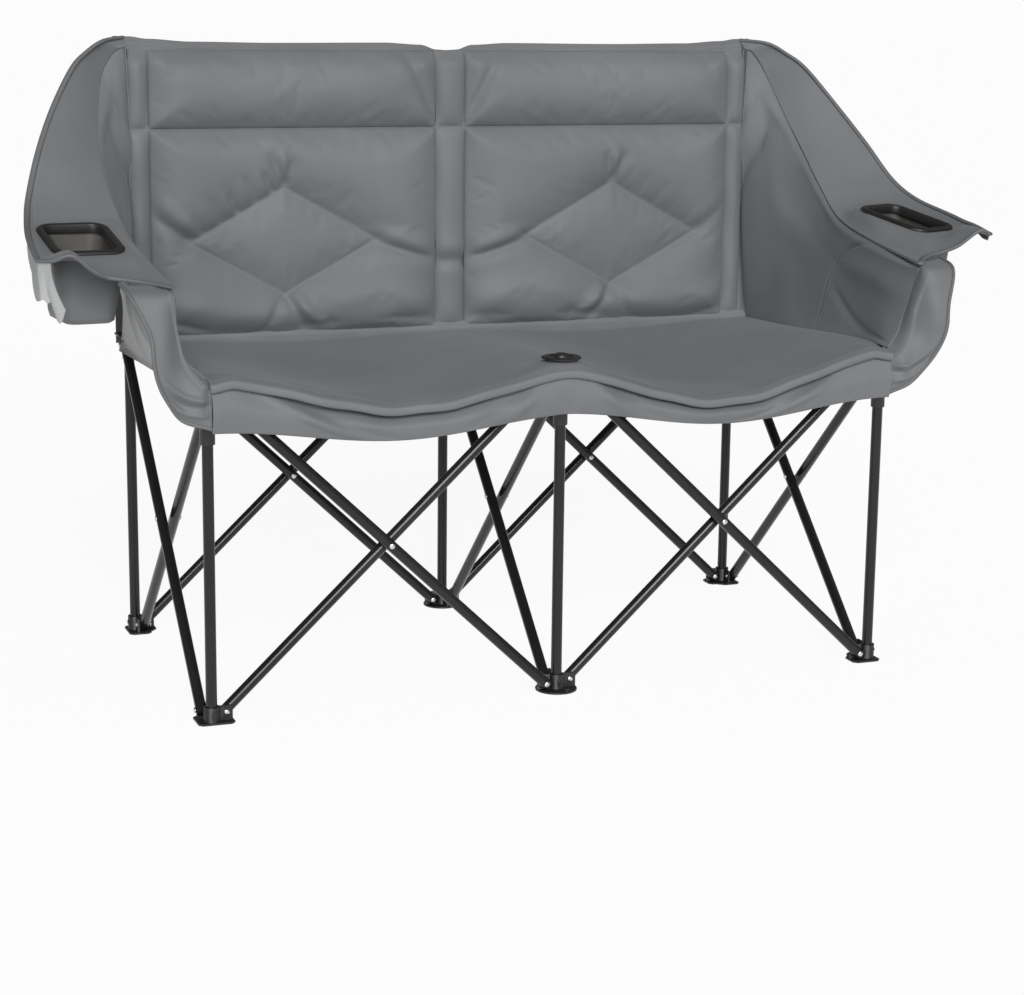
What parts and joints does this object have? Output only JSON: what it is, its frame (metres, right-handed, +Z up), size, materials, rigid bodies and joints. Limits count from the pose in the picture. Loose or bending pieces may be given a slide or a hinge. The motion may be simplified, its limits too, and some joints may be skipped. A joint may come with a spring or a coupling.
{
  "type": "folding camping loveseat",
  "caption": "Two-seat folding camp chair with scissor tube frame, tall tufted back, soft wing arms and drop-in cup holders.",
  "frame": {"origin": "on the floor, midway between left and right, and midway between the front and back of its reach", "axes": "+Z up, +Y from the front of the seat to its back, +X to the right as seen from the front"},
  "size_m": [1.4684, 0.6029, 0.936],
  "materials": {
    "black_steel": "semi-gloss black powder coat",
    "black_plastic": "satin moulded black",
    "grey_fabric": "smooth coated weave",
    "cover_fabric": "matt weave",
    "pocket_fabric": "fine mesh"
  },
  "bodies": {
    "back_middle_leg": {"back_middle_foot": "black_plastic", "back_middle_upright": "black_steel", "back_cover": "cover_fabric", "left_back_pad": "grey_fabric", "right_back_pad": "grey_fabric", "left_headrest": "grey_fabric", "right_headrest": "grey_fabric"},
    "back_right_rising": {"back_right_tube_rising": "black_steel"},
    "back_right_falling": {"back_right_tube_falling": "black_steel"},
    "back_right_leg": {"back_right_foot": "black_plastic", "back_right_upright": "black_steel", "right_wing": "grey_fabric", "right_side_wall": "grey_fabric", "right_arm_flap": "grey_fabric"},
    "back_right_slider": {"back_right_collar": "black_plastic"},
    "back_middle_slider": {"back_middle_collar": "black_plastic"},
    "back_left_falling": {"back_left_tube_falling": "black_steel"},
    "back_left_rising": {"back_left_tube_rising": "black_steel"},
    "back_left_leg": {"back_left_foot": "black_plastic", "back_left_upright": "black_steel", "left_wing": "grey_fabric", "left_side_wall": "grey_fabric", "left_arm_flap": "grey_fabric"},
    "back_left_slider": {"back_left_collar": "black_plastic"},
    "middle_falling": {"middle_tube_falling": "black_steel"},
    "middle_rising": {"middle_tube_rising": "black_steel"},
    "front_middle_leg": {"front_middle_foot": "black_plastic", "front_middle_post": "black_steel"},
    "front_middle_slider": {"front_middle_collar": "black_plastic", "front_middle_sliding_rod": "black_steel", "seat_grommet": "black_plastic", "front_skirt": "grey_fabric"},
    "front_right_rising": {"front_right_tube_rising": "black_steel"},
    "front_right_falling": {"front_right_tube_falling": "black_steel"},
    "front_right_leg": {"front_right_foot": "black_plastic", "front_right_post": "black_steel"},
    "front_right_slider": {"front_right_collar": "black_plastic", "front_right_sliding_rod": "black_steel", "right_arm_rod": "black_steel", "right_arm_band": "grey_fabric"},
    "front_left_falling": {"front_left_tube_falling": "black_steel"},
    "front_left_rising": {"front_left_tube_rising": "black_steel"},
    "front_left_leg": {"front_left_foot": "black_plastic", "front_left_post": "black_steel"},
    "front_left_slider": {"front_left_collar": "black_plastic", "front_left_sliding_rod": "black_steel", "left_arm_rod": "black_steel", "left_arm_band": "grey_fabric"},
    "side_right_falling": {"side_right_tube_falling": "black_steel"},
    "side_right_rising": {"side_right_tube_rising": "black_steel"},
    "side_left_falling": {"side_left_tube_falling": "black_steel"},
    "side_left_rising": {"side_left_tube_rising": "black_steel"},
    "seat_rear": {"seat_rear_pad": "grey_fabric"},
    "seat_front": {"seat_front_pad": "grey_fabric"},
    "right_cup_holder": {"right_cup_ring": "black_plastic", "right_cup_pocket": "pocket_fabric"},
    "left_cup_holder": {"left_cup_ring": "black_plastic", "left_cup_pocket": "pocket_fabric"}
  },
  "joints": [
    {"name": "fold", "type": "hinge", "parent": "back_middle_leg", "child": "back_right_rising", "pos_m": [0.0215, 0.27075, 0.014], "axis": [0, -1, 0], "range_deg": [0, 44.6], "deforming": ["seat_front_pad", "seat_rear_pad", "back_cover", "left_back_pad", "right_back_pad", "left_headrest", "right_headrest", "left_wing", "right_wing", "left_side_wall", "right_side_wall", "left_arm_band", "right_arm_band", "left_arm_flap", "right_arm_flap", "front_skirt"]},
    {"name": "back_right_crossing", "type": "hinge", "parent": "back_right_rising", "child": "back_right_falling", "pos_m": [0.26, 0.27075, 0.2395], "axis": [0, 1, 0], "range_deg": [0, 89.3]},
    {"name": "back_right_foot_pin", "type": "hinge", "parent": "back_right_falling", "child": "back_right_leg", "pos_m": [0.4985, 0.27075, 0.014], "axis": [0, -1, 0], "range_deg": [0, 44.7]},
    {"name": "back_right_collar_pin", "type": "hinge", "parent": "back_right_rising", "child": "back_right_slider", "pos_m": [0.4985, 0.27075, 0.465], "axis": [0, 1, 0], "range_deg": [0, 44.7]},
    {"name": "back_middle_collar_pin", "type": "hinge", "parent": "back_right_falling", "child": "back_middle_slider", "pos_m": [0.0215, 0.27075, 0.465], "axis": [0, -1, 0], "range_deg": [0, 44.7]},
    {"name": "back_left_fold", "type": "hinge", "parent": "back_middle_leg", "child": "back_left_falling", "pos_m": [-0.0215, 0.27075, 0.014], "axis": [0, 1, 0], "range_deg": [0, 44.7]},
    {"name": "back_left_crossing", "type": "hinge", "parent": "back_left_falling", "child": "back_left_rising", "pos_m": [-0.26, 0.27075, 0.2395], "axis": [0, -1, 0], "range_deg": [0, 89.3]},
    {"name": "back_left_foot_pin", "type": "hinge", "parent": "back_left_rising", "child": "back_left_leg", "pos_m": [-0.4985, 0.27075, 0.014], "axis": [0, 1, 0], "range_deg": [0, 44.7]},
    {"name": "back_left_collar_pin", "type": "hinge", "parent": "back_left_falling", "child": "back_left_slider", "pos_m": [-0.4985, 0.27075, 0.465], "axis": [0, -1, 0], "range_deg": [0, 44.7]},
    {"name": "middle_fold", "type": "hinge", "parent": "back_middle_leg", "child": "middle_falling", "pos_m": [0, 0.24925, 0.014], "axis": [-1, 0, 0], "range_deg": [0, 44.7]},
    {"name": "middle_crossing", "type": "hinge", "parent": "middle_falling", "child": "middle_rising", "pos_m": [0, 0.01075, 0.2395], "axis": [1, 0, 0], "range_deg": [0, 89.3]},
    {"name": "front_middle_foot_pin", "type": "hinge", "parent": "middle_rising", "child": "front_middle_leg", "pos_m": [0, -0.22775, 0.014], "axis": [-1, 0, 0], "range_deg": [0, 44.7]},
    {"name": "front_middle_collar_pin", "type": "hinge", "parent": "middle_falling", "child": "front_middle_slider", "pos_m": [0, -0.22775, 0.465], "axis": [1, 0, 0], "range_deg": [0, 44.7]},
    {"name": "front_right_fold", "type": "hinge", "parent": "front_middle_leg", "child": "front_right_rising", "pos_m": [0.0215, -0.24925, 0.014], "axis": [0, -1, 0], "range_deg": [0, 44.7]},
    {"name": "front_right_crossing", "type": "hinge", "parent": "front_right_rising", "child": "front_right_falling", "pos_m": [0.26, -0.24925, 0.2395], "axis": [0, 1, 0], "range_deg": [0, 89.3]},
    {"name": "front_right_foot_pin", "type": "hinge", "parent": "front_right_falling", "child": "front_right_leg", "pos_m": [0.4985, -0.24925, 0.014], "axis": [0, -1, 0], "range_deg": [0, 44.7]},
    {"name": "front_right_collar_pin", "type": "hinge", "parent": "front_right_rising", "child": "front_right_slider", "pos_m": [0.4985, -0.24925, 0.465], "axis": [0, 1, 0], "range_deg": [0, 44.7]},
    {"name": "front_left_fold", "type": "hinge", "parent": "front_middle_leg", "child": "front_left_falling", "pos_m": [-0.0215, -0.24925, 0.014], "axis": [0, 1, 0], "range_deg": [0, 44.7]},
    {"name": "front_left_crossing", "type": "hinge", "parent": "front_left_falling", "child": "front_left_rising", "pos_m": [-0.26, -0.24925, 0.2395], "axis": [0, -1, 0], "range_deg": [0, 89.3]},
    {"name": "front_left_foot_pin", "type": "hinge", "parent": "front_left_rising", "child": "front_left_leg", "pos_m": [-0.4985, -0.24925, 0.014], "axis": [0, 1, 0], "range_deg": [0, 44.7]},
    {"name": "front_left_collar_pin", "type": "hinge", "parent": "front_left_falling", "child": "front_left_slider", "pos_m": [-0.4985, -0.24925, 0.465], "axis": [0, -1, 0], "range_deg": [0, 44.7]},
    {"name": "right_side_fold", "type": "hinge", "parent": "back_right_leg", "child": "side_right_falling", "pos_m": [0.52, 0.24925, 0.014], "axis": [-1, 0, 0], "range_deg": [0, 44.7]},
    {"name": "right_side_crossing", "type": "hinge", "parent": "side_right_falling", "child": "side_right_rising", "pos_m": [0.52, 0.01075, 0.2395], "axis": [1, 0, 0], "range_deg": [0, 89.3]},
    {"name": "left_side_fold", "type": "hinge", "parent": "back_left_leg", "child": "side_left_falling", "pos_m": [-0.52, 0.24925, 0.014], "axis": [-1, 0, 0], "range_deg": [0, 44.7]},
    {"name": "left_side_crossing", "type": "hinge", "parent": "side_left_falling", "child": "side_left_rising", "pos_m": [-0.52, 0.01075, 0.2395], "axis": [1, 0, 0], "range_deg": [0, 89.3]},
    {"name": "seat_rear_fold", "type": "hinge", "parent": "back_middle_slider", "child": "seat_rear", "pos_m": [0, 0.24925, 0.466], "axis": [1, 0, 0], "range_deg": [0, 86.1]},
    {"name": "seat_front_fold", "type": "hinge", "parent": "front_middle_slider", "child": "seat_front", "pos_m": [0, -0.24925, 0.484], "axis": [-1, 0, 0], "range_deg": [0, 86.1]},
    {"name": "right_cup_holder_gather", "type": "slide", "parent": "back_right_leg", "child": "right_cup_holder", "axis": [-0.1, 0.995, 0], "range_m": [0, 0.301]},
    {"name": "left_cup_holder_gather", "type": "slide", "parent": "back_left_leg", "child": "left_cup_holder", "axis": [0.1, 0.995, 0], "range_m": [0, 0.301]}
  ],
  "couplings": [
    {"joint": "back_right_crossing", "follows": "fold", "ratio": 2},
    {"joint": "back_right_foot_pin", "follows": "fold", "ratio": 1},
    {"joint": "back_right_collar_pin", "follows": "fold", "ratio": 1},
    {"joint": "back_middle_collar_pin", "follows": "fold", "ratio": 1},
    {"joint": "back_left_fold", "follows": "fold", "ratio": 1},
    {"joint": "back_left_crossing", "follows": "fold", "ratio": 2},
    {"joint": "back_left_foot_pin", "follows": "fold", "ratio": 1},
    {"joint": "back_left_collar_pin", "follows": "fold", "ratio": 1},
    {"joint": "middle_fold", "follows": "fold", "ratio": 1},
    {"joint": "middle_crossing", "follows": "fold", "ratio": 2},
    {"joint": "front_middle_foot_pin", "follows": "fold", "ratio": 1},
    {"joint": "front_middle_collar_pin", "follows": "fold", "ratio": 1},
    {"joint": "front_right_fold", "follows": "fold", "ratio": 1},
    {"joint": "front_right_crossing", "follows": "fold", "ratio": 2},
    {"joint": "front_right_foot_pin", "follows": "fold", "ratio": 1},
    {"joint": "front_right_collar_pin", "follows": "fold", "ratio": 1},
    {"joint": "front_left_fold", "follows": "fold", "ratio": 1},
    {"joint": "front_left_crossing", "follows": "fold", "ratio": 2},
    {"joint": "front_left_foot_pin", "follows": "fold", "ratio": 1},
    {"joint": "front_left_collar_pin", "follows": "fold", "ratio": 1},
    {"joint": "right_side_fold", "follows": "fold", "ratio": 1},
    {"joint": "right_side_crossing", "follows": "fold", "ratio": 2},
    {"joint": "left_side_fold", "follows": "fold", "ratio": 1},
    {"joint": "left_side_crossing", "follows": "fold", "ratio": 2},
    {"joint": "seat_rear_fold", "follows": "fold", "ratio": 1.9283},
    {"joint": "seat_front_fold", "follows": "fold", "ratio": 1.9283},
    {"joint": "right_cup_holder_gather", "follows": "fold", "m_per_rad": 0.3854},
    {"joint": "left_cup_holder_gather", "follows": "fold", "m_per_rad": 0.3854}
  ]
}
